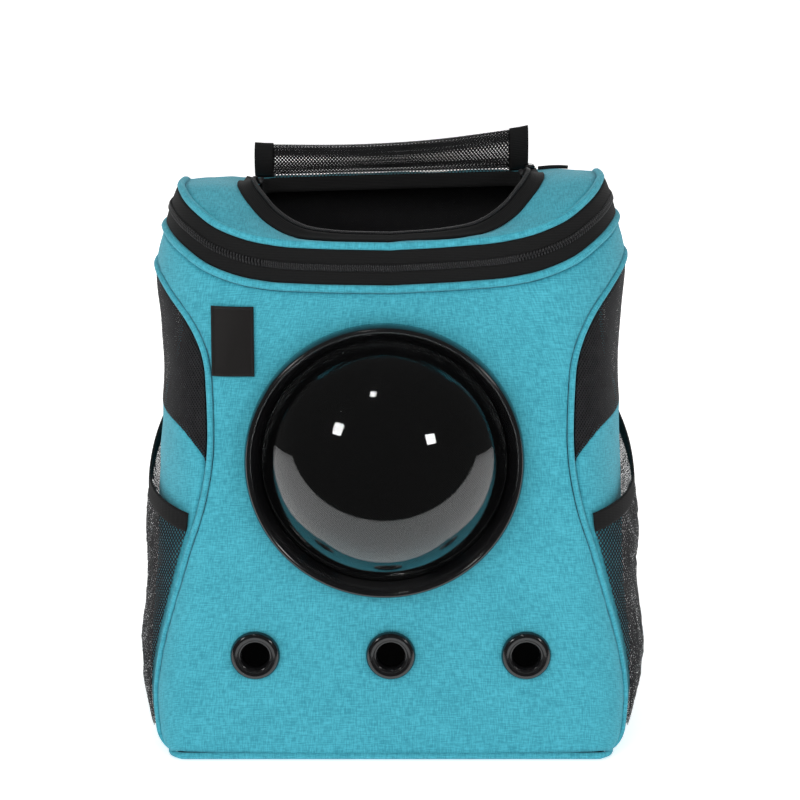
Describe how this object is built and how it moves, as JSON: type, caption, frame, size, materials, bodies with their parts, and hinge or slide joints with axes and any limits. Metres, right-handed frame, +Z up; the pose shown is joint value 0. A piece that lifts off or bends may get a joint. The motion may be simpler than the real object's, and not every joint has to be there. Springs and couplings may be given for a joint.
{
  "type": "bubble pet carrier backpack",
  "caption": "Soft backpack for carrying a small pet, with a clear domed window in front, net side windows and pockets, and a zipped lid with an open mouth.",
  "frame": {"origin": "middle of the base, on the floor it stands on", "axes": "+Z up, +X to the bag's right as seen in the picture, -Y out of the front through the bubble"},
  "size_m": [0.3906, 0.4018, 0.4563],
  "materials": {
    "teal_cloth": "woven, matt",
    "black_cloth": "woven, matt",
    "black_net": "open net",
    "black_plastic": "glossy",
    "clear_plastic": "clear, lightly smoked",
    "black_rubber": "matt"
  },
  "bodies": {
    "root": {"front_panel": "teal_cloth", "bubble_bezel": "black_plastic", "bubble_dome": "clear_plastic", "vent_left": "black_plastic", "vent_middle": "black_plastic", "vent_right": "black_plastic", "label": "black_rubber", "side_panel_right": "teal_cloth", "window_net_right": "black_net", "pocket_net_right": "black_net", "pocket_band_right": "black_cloth", "side_panel_left": "teal_cloth", "window_net_left": "black_net", "pocket_net_left": "black_net", "pocket_band_left": "black_cloth", "piping_front": "teal_cloth", "piping_zip": "teal_cloth", "zip_tape_lower": "black_cloth", "zip_teeth": "black_plastic", "zip_tape_upper": "black_cloth", "piping_lid": "teal_cloth", "lid_panel": "teal_cloth", "mouth_edging": "black_cloth", "flap_net": "black_net", "flap_tape_right": "black_cloth", "flap_tape_left": "black_cloth", "flap_hem": "black_cloth", "base_board": "teal_cloth", "back_panel": "black_cloth", "shoulder_strap_right": "black_cloth", "strap_webbing_right": "black_cloth", "shoulder_strap_left": "black_cloth", "strap_webbing_left": "black_cloth", "grab_handle": "black_cloth", "zip_slider": "black_plastic", "zip_pull": "black_cloth"}
  },
  "joints": []
}
